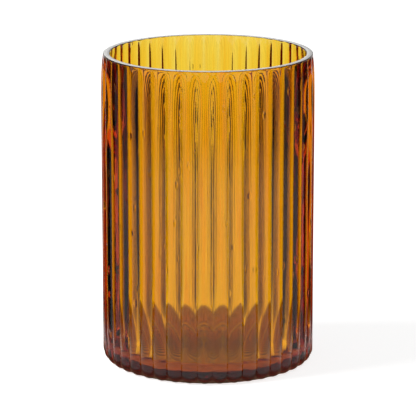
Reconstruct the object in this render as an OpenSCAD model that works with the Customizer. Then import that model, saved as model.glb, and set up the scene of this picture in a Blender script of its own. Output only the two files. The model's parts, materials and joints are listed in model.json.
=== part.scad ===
// Hand-blown ribbed glass vase, a straight cylinder with an open top.
// The glass is one fused piece. Its nodes are the zones that a glassmaker works in turn,
// and they meet face to face: floor, heel, ribbed wall and ground lip.
// Millimetres, +Z up, origin at the middle of the foot, first rib valley just right of -Y.

/* [Overall] */
// Height from the foot to the ground lip
vase_h = 200; // [120:5:300]
// Diameter over the crests of the ribs
crest_d = 136; // [110:1:170]

/* [Lip] */
// How far the lip lies inside the crests, on each side
lip_in = 1.6; // [1.4:0.1:2]
// Thickness of the wall at the lip
lip_wall = 4.2; // [3.4:0.1:5]
// Height of the ground band at the lip
lip_h = 2; // [1.2:0.1:2.4]
// Width of the bevel on each edge of the lip
lip_bevel = 0.6; // [0.3:0.1:0.9]
// Height over which the shoulder swells from the lip to its full width
shoulder_h = 38; // [30:1:50]

/* [Ribs] */
// Number of ribs
rib_count = 42; // [36:1:48]
// Height of the ribs above the valleys between them
rib_depth = 1.3; // [1:0.1:1.4]
// Radius of each rounded rib, as a share of the distance from rib to rib
rib_share = 0.64; // [0.6:0.01:0.7]
// Turn of the first valley from the front, in degrees
first_valley = 2.4; // [0:0.1:8.5]

/* [Base] */
// Thickness of the floor
floor_t = 6.5; // [5:0.5:10]
// Radius of the rounded heel
heel_r = 6.8; // [5:0.1:9]
// Radius of the corner inside, between floor and wall
corner_r = 8; // [6:0.5:12]
// Depth of the hollow under the floor, inside the standing ring
hollow_h = 2; // [1:0.1:3]

/* [Hidden] */
$fn = 256;
crest_r = crest_d / 2;
lip_r = crest_r - lip_in;
bore_r = lip_r - lip_wall;
floor_r = bore_r - corner_r;
heel_h = floor_t + corner_r;
lip_z = vase_h - lip_h;
bevel_z = vase_h - lip_bevel;
// The mould's plain form stands a little outside the crests, and trims them only at their ends
mould_gap = 0.6;
mould_r = crest_r + mould_gap;
foot_r = mould_r - heel_r;
// The shoulder follows an arc, in short straight steps, that passes through the lip's outer edge
// and is upright where it starts
shoulder_steps = 6;
shoulder_z = vase_h - shoulder_h;
shoulder_in = mould_r - lip_r;
shoulder_r = (pow(shoulder_h, 2) + pow(shoulder_in, 2)) / (2 * shoulder_in);
// The hollow under the floor is a shallow dish, in short straight steps
hollow_steps = 8;
half_pitch = 180 / rib_count;
rib_r = rib_share * 2 * PI * crest_r / rib_count;
rib_at = crest_r - rib_r;
valley_r = crest_r - rib_depth;
front = -90;

function mould_at(z) = mould_r - shoulder_r + sqrt(pow(shoulder_r, 2) - pow(z - shoulder_z, 2));
function shoulder_point(t) = [mould_at(shoulder_z + t * shoulder_h), shoulder_z + t * shoulder_h];
function hollow_point(t) = [floor_r * t, hollow_h * (1 - pow(t, 2))];

// Outline of the ribbed glass, cut across: round ribs standing on a plain wall
module rib_outline() {
    circle(valley_r);
    for (i = [0 : rib_count - 1]) {
        rotate(front + first_valley + (2 * i + 1) * half_pitch) translate([rib_at, 0]) circle(rib_r);
    }
}

// Plain form of the mould in half section: foot, rounded heel, straight side and shoulder
module mould_section() {
    square([foot_r, heel_r]);
    intersection() {
        translate([foot_r, heel_r]) circle(heel_r);
        square([mould_r + 1, heel_r]);
    }
    translate([0, heel_r]) square([mould_r, shoulder_z - heel_r]);
    polygon([
        [0, shoulder_z],
        for (i = [0 : shoulder_steps]) shoulder_point(i / shoulder_steps),
        [0, vase_h]
    ]);
}

// Ribbed glass between two heights, outside a radius, less any section given as a child
module ribbed_zone(inner_r, z0, z1) {
    intersection() {
        translate([0, 0, z0]) linear_extrude(z1 - z0) rib_outline();
        rotate_extrude() {
            difference() {
                intersection() {
                    mould_section();
                    translate([inner_r, z0]) square([mould_r, z1 - z0]);
                }
                children();
            }
        }
    }
}

// Ground and bevelled band at the mouth
module ground_lip() {
    color("gainsboro") rotate_extrude() {
        polygon([
            [bore_r, lip_z],
            [mould_at(lip_z), lip_z],
            [mould_at(bevel_z), bevel_z],
            [mould_at(bevel_z) - lip_bevel, vase_h],
            [bore_r + lip_bevel, vase_h],
            [bore_r, bevel_z]
        ]);
    }
}

// Ribbed side of the vase, with a plain bore
module ribbed_wall() {
    color("goldenrod") ribbed_zone(bore_r, heel_h, lip_z);
}

// Standing ring with its rounded heel and the rounded corner inside
module heel_ring() {
    color("saddlebrown") ribbed_zone(floor_r, 0, heel_h) {
        translate([floor_r, heel_h]) circle(corner_r);
    }
}

// Thick floor, hollowed underneath
module floor_disc() {
    color("chocolate") rotate_extrude() {
        polygon([
            [0, floor_t],
            for (i = [0 : hollow_steps]) hollow_point(i / hollow_steps),
            [floor_r, floor_t]
        ]);
    }
}

ground_lip();
ribbed_wall();
heel_ring();
floor_disc();
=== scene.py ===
# Hand-blown ribbed glass vase: one body of amber glass with a ground lip, on a pale table.
import json
import math

import bpy
import numpy as np
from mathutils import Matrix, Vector


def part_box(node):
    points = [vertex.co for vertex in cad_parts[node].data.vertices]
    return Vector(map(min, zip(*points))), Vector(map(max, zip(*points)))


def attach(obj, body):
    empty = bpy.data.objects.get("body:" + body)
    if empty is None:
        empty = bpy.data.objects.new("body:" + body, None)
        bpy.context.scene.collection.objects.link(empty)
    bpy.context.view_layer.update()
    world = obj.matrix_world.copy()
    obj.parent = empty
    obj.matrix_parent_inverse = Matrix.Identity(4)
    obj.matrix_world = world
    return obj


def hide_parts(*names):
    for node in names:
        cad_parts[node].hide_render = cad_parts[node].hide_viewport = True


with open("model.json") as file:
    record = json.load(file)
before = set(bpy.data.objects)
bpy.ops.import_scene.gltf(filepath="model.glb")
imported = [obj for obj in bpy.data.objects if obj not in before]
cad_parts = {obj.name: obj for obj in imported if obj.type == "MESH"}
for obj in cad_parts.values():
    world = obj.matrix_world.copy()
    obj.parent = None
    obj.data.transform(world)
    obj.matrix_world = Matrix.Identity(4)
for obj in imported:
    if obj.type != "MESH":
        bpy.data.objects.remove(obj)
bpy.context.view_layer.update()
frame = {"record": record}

MM = 0.001

# Sizes that the frame gives
WALL_LOW, WALL_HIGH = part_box("ribbed_wall")
LIP_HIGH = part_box("ground_lip")[1]
HEEL_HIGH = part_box("heel_ring")[1]
FLOOR_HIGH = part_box("floor_disc")[1]
MOUTH = next(m for m in frame["record"]["mounts"] if m["name"] == "mouth")
HEIGHT = LIP_HIGH.z
CREST_R = (WALL_HIGH.x - WALL_LOW.x + WALL_HIGH.y - WALL_LOW.y) / 4
BORE_R = MOUTH["dims"]["r_mm"] * MM
FLOOR_R = FLOOR_HIGH.x
FLOOR_TOP = FLOOR_HIGH.z
CORNER_TOP = HEEL_HIGH.z

# Ribs: how many, how deep, how steep they are where two meet, and how round the valley is, where 1 is
# half a rib. The first valley lies just right of the front.
RIBS = 42
RIB_DEPTH = 1.8 * MM
FLANK = math.radians(40)
VALLEY_ROUND = 0.03
FIRST_VALLEY = math.radians(-90 + 2.4)
# How far the lip lies inside the crests, and how fast the shoulder fades below it
LIP_IN = 1.5 * MM
SHOULDER_FADE = 8.5 * MM
# Heel and foot. A smaller power makes the ribs grow faster from the foot up the heel.
HEEL_R = 6.8 * MM
HEEL_RIBS = 0.12
FOOT_R = CREST_R - 6.2 * MM
HOLLOW = 2 * MM
# Fullness of the corner inside: 2 is a quarter circle, and 1 a straight slope
CORNER_FULLNESS = 1.3
# How far the inside wall answers the ribs, near the lip and lower down, and where that changes
ECHO_LIP = 0.1 * MM
ECHO_SIDE = -0.4 * MM
ECHO_START = 22 * MM
ECHO_FADE = 40 * MM
# The part of the rib's depth at which the answer is nothing
ECHO_REST = 0.3
# The lip's bevel, and the frosted skin that grinding leaves on its face
BEVEL = 0.6 * MM
SKIN = 0.15 * MM
SKIN_GAP = 0.01 * MM

# Slow waves in the glass: height, waves per metre round the wall, and how far they are drawn up it
OUTER_WAVE = 0.35 * MM
OUTER_WAVES_PER_M = 22.0
OUTER_DRAW = 0.5
INNER_WAVE = 0.4 * MM
INNER_WAVES_PER_M = 45.0
INNER_DRAW = 0.35
WAVE_SEED = 4.0
INNER_SEED_STEP = 7.0

# Steps of the half section in each zone, and of the lathe round each rib
STEPS = {"hollow": 5, "foot": 2, "heel": 10, "side": 40, "bevel": 4, "lip": 3, "bore": 18, "corner": 8,
         "floor": 10}
SIDE_CROWDING = 1.6
BODY_STEPS_PER_RIB = 20
SKIN_STEPS_PER_RIB = 8
VALLEY_CROWDING = 0.7
WELD = 0.0005 * MM

# Amber glass. The colour and density give the tint of one wall and of two.
REFRACTION = 1.51
AMBER = (0.974, 0.845, 0.0, 1)
AMBER_DENSITY = 548.0
# Fine marks: streaks drawn up the wall, small seeds in it, and the grain of the ground face
STREAK_DARK, STREAK_CLEAR = (1.0, 0.87, 0.62), (1.0, 1.0, 1.0)
STREAK_DRAW = (1.0, 1.0, 0.06)
STREAKS_PER_M = 220.0
SEEDS_PER_M = 140.0
STREAK_HEIGHT = 0.05 * MM
GRAIN_DARK, GRAIN_PALE = (0.74, 0.73, 0.71), (0.9, 0.89, 0.87)
GRAIN_ROUGHNESS = (0.4, 0.55)
GRAIN_DRAW = (1.0, 1.0, 1.0)
GRAINS_PER_M = 1400.0
GRAIN_HEIGHT = 0.05 * MM
MARK_DETAIL = 3.0
MARK_LIMITS = (0.41, 0.51)
PIT_DRAW = (1.0, 1.0, 0.3)
PIT_LIMITS = (0.04, 0.14)
PIT_DEPTH = 5.0

# Light on the table, where white is 1. Distances are from the vase's axis, and turns from straight behind.
GAP_LIGHT = 0.03
WEDGE_SLOPE = 0.53
WEDGE_WAIST = 0.05
WEDGE_EDGE = 0.012
WEDGE_START = 0.02
RAYS_PER_RADIAN = 40.0
RAY_CHANGE = 4.0
RAY_LIMITS = (0.35, 0.6)
RAY_LIGHTS = (0.92, 1.05)
POOL_LIGHT = 0.8
POOL_TURNS = (math.radians(95), math.radians(110))
POOL_REACHES = (0.5, 0.9)
FAR_TURNS = (math.radians(135), math.radians(165))
FAR_LIGHTS = (0.5, 0.12)
NEAR_LIGHT = 0.35
NEAR_REACHES = (0.12, 0.17)
SIDE_LIGHT = 1.0
SIDE_STARTS = (0.075, 0.085)
SIDE_ENDS = (0.11, 0.125)
# The vase's own shade, a little behind it
SHADE_TINT = (1.0, 0.7, 0.45, 1.0)
SHADE_LIGHTS = (0.24, 0.375)
SHADE_R = 0.084
SHADE_EDGE = 0.01
SHADE_BEHIND = 0.018
RIPPLES_PER_M = 160.0
RIPPLE_LIMITS = (0.35, 0.65)

# The table, as a camera sees it
TABLE_R = 6.0
TABLE_EDGES = 128
TABLE_PAINT = (0.8, 0.8, 0.8, 1)
TABLE_GLOW = 0.82

# The room: its light by height, from 0 at the horizon to 1 overhead, and the lamp
LOW_BAND = (0.15, 0.3)
LOW_LIGHT = 0.9
TOP_BAND = (0.6, 0.8)
TOP_LIGHT = 0.35
# A background's own colour is 0.8 of white, and this strength brings it to white
WHITE_ROOM = 1.25
LAMP_SIZE = 0.8
LAMP_ENERGY = 30.0
LAMP_PLACE = (-1.2, -0.3, 1.7)
LAMP_AIM = (0, 0, 0.05)

# The camera's place is counted in crest radii
SENSOR = 36.0
LENS = 226.6
CAMERA_BACK = 24.02
CAMERA_UP = 7.379
CAMERA_DOWN = math.radians(13.87)


# ---------------------------------------------------------------- node helpers

def link(tree, source, target):
    tree.links.new(source, target)


def new_node(tree, kind, **settings):
    """A node of a kind, with its properties set."""
    node = tree.nodes.new(kind)
    for name, value in settings.items():
        setattr(node, name, value)
    return node


def feed(tree, socket, value):
    """Links an output to a socket, or sets the socket to a plain value."""
    if isinstance(value, bpy.types.NodeSocket):
        link(tree, value, socket)
    else:
        socket.default_value = value


def maths(tree, operation, a, b=None):
    """One Math node on two values or outputs."""
    node = new_node(tree, "ShaderNodeMath", operation=operation)
    feed(tree, node.inputs[0], a)
    if b is not None:
        feed(tree, node.inputs[1], b)
    return node.outputs[0]


def vector_maths(tree, operation, a, b=None, scale=None):
    """One Vector Math node."""
    node = new_node(tree, "ShaderNodeVectorMath", operation=operation)
    feed(tree, node.inputs[0], a)
    if b is not None:
        feed(tree, node.inputs[1], b)
    if scale is not None:
        feed(tree, node.inputs["Scale"], scale)
    return node.outputs[0]


def combine(tree, x, y, z):
    node = new_node(tree, "ShaderNodeCombineXYZ")
    for socket, value in zip(node.inputs, (x, y, z)):
        feed(tree, socket, value)
    return node.outputs[0]


def separate(tree, vector):
    node = new_node(tree, "ShaderNodeSeparateXYZ")
    link(tree, vector, node.inputs[0])
    return node.outputs


def ramp(tree, value, low, high, start=0.0, end=1.0):
    """A smooth change from start to end while a value goes from low to high."""
    node = new_node(tree, "ShaderNodeMapRange", interpolation_type="SMOOTHSTEP")
    feed(tree, node.inputs["Value"], value)
    for socket, number in (("From Min", low), ("From Max", high), ("To Min", start), ("To Max", end)):
        node.inputs[socket].default_value = number
    return node.outputs["Result"]


def noise(tree, vector, scale, detail=2.0):
    """Noise between 0 and 1."""
    node = new_node(tree, "ShaderNodeTexNoise")
    link(tree, vector, node.inputs["Vector"])
    feed(tree, node.inputs["Scale"], scale)
    node.inputs["Detail"].default_value = detail
    return node.outputs[0]


def blend(tree, share, first, second):
    """A colour between two colours."""
    node = new_node(tree, "ShaderNodeMix", data_type="RGBA")
    link(tree, share, node.inputs["Factor"])
    colours = [socket for socket in node.inputs if socket.type == "RGBA"]
    colours[0].default_value = (*first, 1)
    colours[1].default_value = (*second, 1)
    return next(socket for socket in node.outputs if socket.type == "RGBA")


def bump(tree, height, distance):
    """A normal from a height, where 1 is the distance given."""
    node = new_node(tree, "ShaderNodeBump")
    link(tree, height, node.inputs["Height"])
    node.inputs["Distance"].default_value = distance
    node.inputs["Strength"].default_value = 1.0
    return node.outputs[0]


def shader_sum(tree, kind, first, second, share=None):
    """Adds two shaders, or mixes them by a share."""
    node = new_node(tree, kind)
    if share is not None:
        feed(tree, node.inputs[0], share)
    link(tree, first, node.inputs[-2])
    link(tree, second, node.inputs[-1])
    return node.outputs[0]


def emission(tree, strength, kind="ShaderNodeEmission"):
    node = new_node(tree, kind)
    feed(tree, node.inputs["Strength"], strength)
    return node.outputs[0]


# ---------------------------------------------------------------- half sections

def crest_drop(z):
    """How far the crests have drawn in at a height: softly at first, and fast near the lip."""
    return LIP_IN * math.exp((z - HEIGHT) / SHOULDER_FADE)


def echo_at(z):
    """How the inside wall answers the ribs at a height: it follows them a little near the lip, and
    lower down it goes the other way, so that the glass is thinner behind each valley."""
    share = min(max((HEIGHT - ECHO_START - z) / ECHO_FADE, 0.0), 1.0)
    return ECHO_LIP + (ECHO_SIDE - ECHO_LIP) * share


def even(start, end, steps):
    """Values from start up to, but not including, end."""
    return [start + (end - start) * i / steps for i in range(steps)]


def body_section():
    """Half section of the glass from the middle of the underside, round the outside over the crests,
    to the middle of the floor: (radius, height, share of the rib depth, share of the inside waves,
    the inside wall's answer to the ribs)."""
    rows = []
    quarter = math.pi / 2

    def add(r, z, ribs=0.0, waves=0.0):
        rows.append((r, z, ribs, waves, waves * echo_at(z)))

    for r in even(0, FLOOR_R, STEPS["hollow"]):
        add(r, HOLLOW * (1 - (r / FLOOR_R) ** 2))
    for r in even(FLOOR_R, FOOT_R, STEPS["foot"]):
        add(r, 0)
    for turn in even(0, quarter, STEPS["heel"]):
        r = FOOT_R + (CREST_R - FOOT_R) * math.sin(turn)
        add(r, HEEL_R * (1 - math.cos(turn)), ribs=math.sin(turn) ** HEEL_RIBS)
    bevel_foot = HEIGHT - SKIN - BEVEL
    for share in even(0, 1, STEPS["side"]):
        z = HEEL_R + (bevel_foot - HEEL_R) * (1 - (1 - share) ** SIDE_CROWDING)
        add(CREST_R - crest_drop(z), z, ribs=max(1 - crest_drop(z) / RIB_DEPTH, 0))
    edge_r = CREST_R - crest_drop(bevel_foot)
    for turn in even(0, quarter, STEPS["bevel"]):
        add(edge_r - BEVEL * (1 - math.cos(turn)), bevel_foot + BEVEL * math.sin(turn))
    for r in even(edge_r - BEVEL, BORE_R + BEVEL, STEPS["lip"]):
        add(r, HEIGHT - SKIN)
    for turn in even(0, quarter, STEPS["bevel"]):
        add(BORE_R + BEVEL * (1 - math.sin(turn)), bevel_foot + BEVEL * math.cos(turn))
    for z in even(bevel_foot, CORNER_TOP, STEPS["bore"]):
        add(BORE_R, z, waves=1.0)
    corner = CORNER_TOP - FLOOR_TOP
    for turn in even(0, quarter, STEPS["corner"]):
        across = math.cos(turn) ** (2 / CORNER_FULLNESS)
        down = math.sin(turn) ** (2 / CORNER_FULLNESS)
        add(FLOOR_R + corner * across, CORNER_TOP - corner * down, waves=1.0)
    for r in even(FLOOR_R, 0, STEPS["floor"]):
        add(r, FLOOR_TOP, waves=min(r / FLOOR_R * 2, 1.0))
    add(0, FLOOR_TOP)
    return rows


def skin_section():
    """Closed half section of the frosted skin on the lip."""
    outer = CREST_R - crest_drop(HEIGHT - SKIN - BEVEL) - BEVEL
    inner = BORE_R + BEVEL
    low = HEIGHT - SKIN + SKIN_GAP
    round_off = SKIN / 3
    corners = [(inner, low), (outer, low), (outer, HEIGHT - round_off), (outer - round_off, HEIGHT),
               (inner + round_off, HEIGHT), (inner, HEIGHT - round_off), (inner, low)]
    return [(r, z, 0.0, 0.0, 0.0) for r, z in corners]


def section_object(name, rows):
    """The half section as a line of points in the XZ plane, with what each point needs for the lathe."""
    points = np.array([(r, 0.0, z) for r, z, *_ in rows])
    along = np.gradient(points, axis=0)
    outward = np.stack([along[:, 2], np.zeros(len(rows)), -along[:, 0]], axis=1)
    outward /= np.linalg.norm(outward, axis=1, keepdims=True)
    mesh = bpy.data.meshes.new(name)
    mesh.from_pydata(points.tolist(), [(i, i + 1) for i in range(len(rows) - 1)], [])
    for column, field in ((2, "rib_share"), (3, "wave_share"), (4, "echo")):
        values = mesh.attributes.new(field, "FLOAT", "POINT")
        values.data.foreach_set("value", [row[column] for row in rows])
    # The lathe reads the section's places by name, because the grid has places of its own
    for field, vectors in (("section_place", points), ("outward", outward)):
        values = mesh.attributes.new(field, "FLOAT_VECTOR", "POINT")
        values.data.foreach_set("vector", vectors.ravel())
    piece = bpy.data.objects.new(name, mesh)
    bpy.context.scene.collection.objects.link(piece)
    return piece


# ---------------------------------------------------------------- the glass lathe

def lathe_tree():
    """Geometry Nodes that turn a half section into glass with ribs outside and slow waves inside."""
    tree = bpy.data.node_groups.new("Glass lathe", "GeometryNodeTree")
    tree.is_modifier = True
    sockets = tree.interface
    sockets.new_socket("Geometry", in_out="OUTPUT", socket_type="NodeSocketGeometry")
    sockets.new_socket("Geometry", in_out="INPUT", socket_type="NodeSocketGeometry")
    for name, kind in (("Ribs", "Int"), ("Steps per rib", "Int"), ("Rib depth", "Float"),
                       ("Flank", "Float"), ("Valley round", "Float"), ("First valley", "Float"),
                       ("Valley crowding", "Float"), ("Outer wave", "Float"), ("Inner wave", "Float"),
                       ("Wave seed", "Float"), ("Glass", "Material")):
        sockets.new_socket(name, in_out="INPUT", socket_type="NodeSocket" + kind)
    given = new_node(tree, "NodeGroupInput").outputs
    result = new_node(tree, "NodeGroupOutput")

    # A flat grid: one row for each point of the section, one column for each step round the axis
    points = new_node(tree, "GeometryNodeAttributeDomainSize")
    link(tree, given["Geometry"], points.inputs["Geometry"])
    count = points.outputs["Point Count"]
    columns = maths(tree, "MULTIPLY", given["Ribs"], given["Steps per rib"])
    grid = new_node(tree, "GeometryNodeMeshGrid")
    feed(tree, grid.inputs["Size X"], 1.0)
    feed(tree, grid.inputs["Size Y"], 1.0)
    link(tree, count, grid.inputs["Vertices X"])
    link(tree, maths(tree, "ADD", columns, 1), grid.inputs["Vertices Y"])
    flat = separate(tree, new_node(tree, "GeometryNodeInputPosition").outputs[0])
    row = maths(tree, "ROUND", maths(tree, "MULTIPLY", maths(tree, "ADD", flat[0], 0.5),
                                     maths(tree, "SUBTRACT", count, 1)))
    turn = maths(tree, "MULTIPLY", maths(tree, "ADD", flat[1], 0.5), given["Ribs"])

    def sampled(field, kind):
        named = new_node(tree, "GeometryNodeInputNamedAttribute", data_type=kind)
        named.inputs["Name"].default_value = field
        pick = new_node(tree, "GeometryNodeSampleIndex", data_type=kind)
        link(tree, given["Geometry"], pick.inputs["Geometry"])
        link(tree, named.outputs["Attribute"], pick.inputs["Value"])
        link(tree, row, pick.inputs["Index"])
        return pick.outputs["Value"]

    # Steps crowd together in the valleys, where the glass turns fastest
    circle = 2 * math.pi
    phase = maths(tree, "MULTIPLY", turn, circle)
    crowd = maths(tree, "MULTIPLY", maths(tree, "SINE", phase),
                  maths(tree, "DIVIDE", given["Valley crowding"], circle))
    eased = maths(tree, "SUBTRACT", turn, crowd)
    angle = maths(tree, "ADD", given["First valley"],
                  maths(tree, "MULTIPLY", eased, maths(tree, "DIVIDE", circle, given["Ribs"])))
    across = combine(tree, maths(tree, "COSINE", angle), maths(tree, "SINE", angle), 0.0)

    # The rib's outline is an arc: 0 on the crest and 1 in the valley, with a small fillet there
    away_from_valley = maths(tree, "MULTIPLY", maths(tree, "PINGPONG", eased, 0.5), 2.0)
    fillet = given["Valley round"]

    def softened(value):
        rounded = maths(tree, "SQRT", maths(tree, "ADD", maths(tree, "POWER", value, 2.0),
                                            maths(tree, "POWER", fillet, 2.0)))
        return maths(tree, "SUBTRACT", rounded, fillet)

    across_rib = maths(tree, "SUBTRACT", 1.0,
                       maths(tree, "DIVIDE", softened(away_from_valley), softened(1.0)))

    def sagitta(value):
        sine = maths(tree, "MULTIPLY", value, maths(tree, "SINE", given["Flank"]))
        return maths(tree, "SUBTRACT", 1.0, maths(tree, "COSINE", maths(tree, "ARCSINE", sine)))

    outline = maths(tree, "DIVIDE", sagitta(across_rib), sagitta(1.0))

    section = separate(tree, sampled("section_place", "FLOAT_VECTOR"))
    facing = separate(tree, sampled("outward", "FLOAT_VECTOR"))
    cut = maths(tree, "MULTIPLY", maths(tree, "MULTIPLY", outline, given["Rib depth"]),
                sampled("rib_share", "FLOAT"))
    # Slow waves that the breath and the tools leave: long up the wall, shorter round it
    plain = vector_maths(tree, "ADD", vector_maths(tree, "SCALE", across, scale=section[0]),
                         combine(tree, 0.0, 0.0, section[2]))

    def waves(per_metre, draw, seed_step):
        swell = new_node(tree, "ShaderNodeTexNoise", noise_dimensions="4D")
        link(tree, vector_maths(tree, "MULTIPLY", plain, (1.0, 1.0, draw)), swell.inputs["Vector"])
        link(tree, maths(tree, "ADD", given["Wave seed"], seed_step), swell.inputs["W"])
        swell.inputs["Scale"].default_value = per_metre
        swell.inputs["Detail"].default_value = 1.0
        return maths(tree, "SUBTRACT", swell.outputs[0], 0.5)

    outer = maths(tree, "MULTIPLY", waves(OUTER_WAVES_PER_M, OUTER_DRAW, 0.0),
                  maths(tree, "MULTIPLY", given["Outer wave"], sampled("rib_share", "FLOAT")))
    inner = maths(tree, "MULTIPLY", waves(INNER_WAVES_PER_M, INNER_DRAW, INNER_SEED_STEP),
                  given["Inner wave"])
    echo = maths(tree, "MULTIPLY", maths(tree, "SUBTRACT", outline, ECHO_REST), sampled("echo", "FLOAT"))
    inside = maths(tree, "ADD", maths(tree, "MULTIPLY", inner, sampled("wave_share", "FLOAT")), echo)
    shift = maths(tree, "ADD", maths(tree, "SUBTRACT", outer, cut), inside)
    away = vector_maths(tree, "ADD", vector_maths(tree, "SCALE", across, scale=facing[0]),
                        combine(tree, 0.0, 0.0, facing[2]))
    placed = vector_maths(tree, "ADD", plain, vector_maths(tree, "SCALE", away, scale=shift))

    move = new_node(tree, "GeometryNodeSetPosition")
    link(tree, grid.outputs["Mesh"], move.inputs["Geometry"])
    link(tree, placed, move.inputs["Position"])
    weld = new_node(tree, "GeometryNodeMergeByDistance")
    link(tree, move.outputs[0], weld.inputs["Geometry"])
    weld.inputs["Distance"].default_value = WELD
    outward = new_node(tree, "GeometryNodeFlipFaces")
    link(tree, weld.outputs[0], outward.inputs["Mesh"])
    smooth = new_node(tree, "GeometryNodeSetShadeSmooth")
    link(tree, outward.outputs[0], smooth.inputs["Geometry"])
    real = new_node(tree, "GeometryNodeRealizeInstances")
    link(tree, smooth.outputs[0], real.inputs["Geometry"])
    finish = new_node(tree, "GeometryNodeSetMaterial")
    link(tree, real.outputs[0], finish.inputs["Geometry"])
    link(tree, given["Glass"], finish.inputs["Material"])
    link(tree, finish.outputs[0], result.inputs[0])
    return tree


def turned(name, rows, tree, **inputs):
    """A plain mesh piece made by the lathe from a half section."""
    blank = section_object(name + "_section", rows)
    lathe = blank.modifiers.new("Lathe", "NODES")
    lathe.node_group = tree
    names = {s.name: s.identifier for s in tree.interface.items_tree if s.in_out == "INPUT"}
    for key, value in inputs.items():
        lathe[names[key.replace("_", " ")]] = value
    mesh = bpy.data.meshes.new_from_object(blank.evaluated_get(bpy.context.evaluated_depsgraph_get()))
    mesh.name = name
    bpy.data.objects.remove(blank)
    piece = bpy.data.objects.new(name, mesh)
    bpy.context.scene.collection.objects.link(piece)
    return piece


# ---------------------------------------------------------------- the vase's materials

def new_material(name):
    material = bpy.data.materials.new(name)
    material.use_nodes = True
    material.node_tree.nodes.clear()
    return material, material.node_tree


def unevenness_group():
    """Shader group for fine marks in worked glass: a height and a mask from noise on object coordinates."""
    group = bpy.data.node_groups.new("Fine unevenness", "ShaderNodeTree")
    for name, kind in (("Stretch", "Vector"), ("Scale", "Float"), ("Pit scale", "Float")):
        group.interface.new_socket(name, in_out="INPUT", socket_type="NodeSocket" + kind)
    for name in ("Height", "Mask"):
        group.interface.new_socket(name, in_out="OUTPUT", socket_type="NodeSocketFloat")
    given = new_node(group, "NodeGroupInput").outputs
    result = new_node(group, "NodeGroupOutput").inputs
    place = new_node(group, "ShaderNodeTexCoord").outputs["Object"]
    drawn = vector_maths(group, "MULTIPLY", place, given["Stretch"])
    grain = noise(group, drawn, given["Scale"], MARK_DETAIL)
    pits = new_node(group, "ShaderNodeTexVoronoi")
    link(group, vector_maths(group, "MULTIPLY", place, PIT_DRAW), pits.inputs["Vector"])
    link(group, given["Pit scale"], pits.inputs["Scale"])
    pit = ramp(group, pits.outputs["Distance"], *PIT_LIMITS, PIT_DEPTH, 0.0)
    link(group, maths(group, "SUBTRACT", grain, pit), result["Height"])
    link(group, ramp(group, grain, *MARK_LIMITS), result["Mask"])
    return group


def unevenness(tree, group, stretch, scale, pit_scale):
    """The fine marks in one material: their height and mask."""
    node = new_node(tree, "ShaderNodeGroup", node_tree=group)
    node.inputs["Stretch"].default_value = stretch
    node.inputs["Scale"].default_value = scale
    node.inputs["Pit scale"].default_value = pit_scale
    return node.outputs


def amber_glass(group):
    """Glass coloured through by amber, with fine upright streaks from the mould and a few small seeds."""
    material, tree = new_material("amber_glass")
    out = new_node(tree, "ShaderNodeOutputMaterial")
    glass = new_node(tree, "ShaderNodeBsdfPrincipled")
    streaks = unevenness(tree, group, STREAK_DRAW, STREAKS_PER_M, SEEDS_PER_M)
    link(tree, blend(tree, streaks["Mask"], STREAK_DARK, STREAK_CLEAR), glass.inputs["Base Color"])
    link(tree, bump(tree, streaks["Height"], STREAK_HEIGHT), glass.inputs["Normal"])
    glass.inputs["Transmission Weight"].default_value = 1.0
    glass.inputs["Roughness"].default_value = 0.0
    glass.inputs["IOR"].default_value = REFRACTION
    link(tree, glass.outputs[0], out.inputs["Surface"])
    tint = new_node(tree, "ShaderNodeVolumeAbsorption")
    tint.inputs["Color"].default_value = AMBER
    tint.inputs["Density"].default_value = AMBER_DENSITY
    link(tree, tint.outputs[0], out.inputs["Volume"])
    return material


def ground_glass(group):
    """The lip's ground face: pale, satin and finely pitted."""
    material, tree = new_material("ground_glass")
    out = new_node(tree, "ShaderNodeOutputMaterial")
    glass = new_node(tree, "ShaderNodeBsdfPrincipled")
    grain = unevenness(tree, group, GRAIN_DRAW, GRAINS_PER_M, GRAINS_PER_M)
    link(tree, blend(tree, grain["Mask"], GRAIN_DARK, GRAIN_PALE), glass.inputs["Base Color"])
    link(tree, ramp(tree, grain["Mask"], 0.0, 1.0, *GRAIN_ROUGHNESS), glass.inputs["Roughness"])
    link(tree, bump(tree, grain["Height"], GRAIN_HEIGHT), glass.inputs["Normal"])
    link(tree, glass.outputs[0], out.inputs["Surface"])
    return material


# ---------------------------------------------------------------- light on the table

def distance_from(tree, place, behind=0.0):
    """Distance on the table from a point straight behind the vase's axis."""
    along = maths(tree, "SUBTRACT", place[1], behind)
    return maths(tree, "SQRT", maths(tree, "ADD", maths(tree, "POWER", place[0], 2.0),
                                     maths(tree, "POWER", along, 2.0)))


def bright_wedge(tree, place, reach):
    """The lit table behind the vase: a wedge that widens backwards, with its light in faint rays."""
    aside = maths(tree, "ABSOLUTE", place[0])
    widening = maths(tree, "MULTIPLY", maths(tree, "MAXIMUM", place[1], 0.0), WEDGE_SLOPE)
    half_width = maths(tree, "SQRT", maths(tree, "ADD", maths(tree, "POWER", widening, 2.0),
                                           WEDGE_WAIST ** 2))
    past_edge = maths(tree, "SUBTRACT", aside, half_width)
    wedge = maths(tree, "MULTIPLY", ramp(tree, past_edge, 0.0, WEDGE_EDGE, 1.0, GAP_LIGHT),
                  ramp(tree, place[1], -WEDGE_START, WEDGE_START))
    turn = maths(tree, "ARCTAN2", place[0], place[1])
    rays = noise(tree, combine(tree, maths(tree, "MULTIPLY", turn, RAYS_PER_RADIAN),
                               maths(tree, "MULTIPLY", reach, RAY_CHANGE), 0.0), 1.0)
    return maths(tree, "MULTIPLY", wedge, ramp(tree, rays, *RAY_LIMITS, *RAY_LIGHTS))


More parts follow.
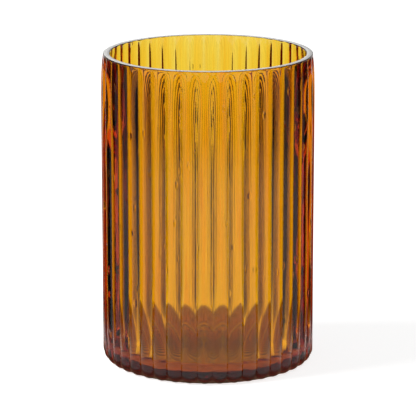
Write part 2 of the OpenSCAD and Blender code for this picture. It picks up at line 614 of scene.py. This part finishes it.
def pool_of_light(tree, place, reach):
    """The lit table before and beside the vase: bright close by and dimmer farther off."""
    turn = maths(tree, "ARCTAN2", maths(tree, "ABSOLUTE", place[0]), place[1])
    close = ramp(tree, reach, *POOL_REACHES, 1.0, 0.0)
    far = ramp(tree, turn, *FAR_TURNS, *FAR_LIGHTS)
    return maths(tree, "MULTIPLY", ramp(tree, turn, *POOL_TURNS, 0.0, POOL_LIGHT),
                 maths(tree, "MAXIMUM", close, far))


def foot_light(tree, place, reach):
    """Light close round the foot, brighter on its left and right."""
    aside = maths(tree, "ABSOLUTE", place[0])
    beside = maths(tree, "MULTIPLY", ramp(tree, aside, *SIDE_STARTS, 0.0, SIDE_LIGHT),
                   ramp(tree, reach, *SIDE_ENDS, 1.0, 0.0))
    return maths(tree, "MAXIMUM", ramp(tree, reach, *NEAR_REACHES, NEAR_LIGHT, 0.0), beside)


def amber_shade(tree, place):
    """The vase's own shade, rippled by amber light that came through the glass: its shader and share."""
    shade = new_node(tree, "ShaderNodeEmission")
    shade.inputs["Color"].default_value = SHADE_TINT
    ripples = noise(tree, combine(tree, place[0], place[1], 0.0), RIPPLES_PER_M)
    feed(tree, shade.inputs["Strength"], ramp(tree, ripples, *RIPPLE_LIMITS, *SHADE_LIGHTS))
    reach = distance_from(tree, place, SHADE_BEHIND)
    return shade.outputs[0], ramp(tree, reach, SHADE_R, SHADE_R + SHADE_EDGE, 1.0, 0.0)


def table_top():
    """Pale table. Looked at straight, it is plain and white. What the glass sees of it is the light that
    lies on it, with two dark gaps between the wedge and the pool that draw the ribs."""
    material, tree = new_material("pale_table")
    out = new_node(tree, "ShaderNodeOutputMaterial")
    place = separate(tree, new_node(tree, "ShaderNodeTexCoord").outputs["Object"])
    reach = distance_from(tree, place)
    light = maths(tree, "MAXIMUM", bright_wedge(tree, place, reach), pool_of_light(tree, place, reach))
    lit = emission(tree, maths(tree, "MAXIMUM", light, foot_light(tree, place, reach)))
    shade, share = amber_shade(tree, place)
    sheet = shader_sum(tree, "ShaderNodeMixShader", lit, shade, share)
    paint = new_node(tree, "ShaderNodeBsdfDiffuse")
    paint.inputs["Color"].default_value = TABLE_PAINT
    shown = shader_sum(tree, "ShaderNodeAddShader", paint.outputs[0], emission(tree, TABLE_GLOW))
    looked_at = new_node(tree, "ShaderNodeLightPath").outputs["Is Camera Ray"]
    link(tree, shader_sum(tree, "ShaderNodeMixShader", sheet, shown, looked_at), out.inputs["Surface"])
    return material


# ---------------------------------------------------------------- pieces and stage

def vase():
    """The two glass pieces, riding on the one body. The skin is plain, with no ribs or waves."""
    tree = lathe_tree()
    marks = unevenness_group()
    ribs = {"Ribs": RIBS, "Flank": FLANK, "Valley_round": VALLEY_ROUND, "First_valley": FIRST_VALLEY}
    body = turned("blown_glass", body_section(), tree, **ribs, Steps_per_rib=BODY_STEPS_PER_RIB,
                  Rib_depth=RIB_DEPTH, Valley_crowding=VALLEY_CROWDING, Outer_wave=OUTER_WAVE,
                  Inner_wave=INNER_WAVE, Wave_seed=WAVE_SEED, Glass=amber_glass(marks))
    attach(body, "root")
    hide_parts("ribbed_wall", "heel_ring", "floor_disc")
    skin = turned("ground_lip_face", skin_section(), tree, **ribs, Steps_per_rib=SKIN_STEPS_PER_RIB,
                  Glass=ground_glass(marks))
    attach(skin, "root")
    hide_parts("ground_lip")


def table():
    """A round pale table top, wide enough to reach past every view."""
    turns = [i * 2 * math.pi / TABLE_EDGES for i in range(TABLE_EDGES)]
    rim = [(TABLE_R * math.cos(turn), TABLE_R * math.sin(turn), 0) for turn in turns]
    mesh = bpy.data.meshes.new("table")
    mesh.from_pydata(rim, [], [tuple(range(TABLE_EDGES))])
    mesh.materials.append(table_top())
    top = bpy.data.objects.new("table", mesh)
    bpy.context.scene.collection.objects.link(top)


def studio_light():
    """The studio round the table: light low down all round, a dark room above it, a soft top light, and
    a broad lamp from the left that lays the vase's shadow."""
    world = bpy.data.worlds.new("studio")
    bpy.context.scene.world = world
    world.use_nodes = True
    tree = world.node_tree
    tree.nodes.clear()
    out = new_node(tree, "ShaderNodeOutputWorld")
    way = separate(tree, new_node(tree, "ShaderNodeTexCoord").outputs["Generated"])
    low = ramp(tree, way[2], *LOW_BAND, LOW_LIGHT, 0.0)
    top = ramp(tree, way[2], *TOP_BAND, 0.0, TOP_LIGHT)
    room = emission(tree, maths(tree, "ADD", low, top), "ShaderNodeBackground")
    white = emission(tree, WHITE_ROOM, "ShaderNodeBackground")
    looked_at = new_node(tree, "ShaderNodeLightPath").outputs["Is Camera Ray"]
    link(tree, shader_sum(tree, "ShaderNodeMixShader", room, white, looked_at), out.inputs["Surface"])

    key = bpy.data.lights.new("key", "AREA")
    key.shape = "DISK"
    key.size = LAMP_SIZE
    key.energy = LAMP_ENERGY
    lamp = bpy.data.objects.new("key", key)
    lamp.location = LAMP_PLACE
    lamp.rotation_euler = (Vector(LAMP_AIM) - lamp.location).to_track_quat("-Z", "Y").to_euler()
    lamp.visible_glossy = False
    lamp.visible_transmission = False
    bpy.context.scene.collection.objects.link(lamp)


def camera():
    """A long lens in front, above the lip's level and looking down."""
    data = bpy.data.cameras.new("camera")
    data.lens = LENS
    data.sensor_width = SENSOR
    view = bpy.data.objects.new("camera", data)
    view.location = (0.0, -CAMERA_BACK * CREST_R, CAMERA_UP * CREST_R)
    view.rotation_euler = (math.pi / 2 - CAMERA_DOWN, 0.0, 0.0)
    bpy.context.scene.collection.objects.link(view)
    bpy.context.scene.camera = view


camera()
vase()
table()
studio_light()
bpy.context.scene.view_settings.view_transform = "Standard"
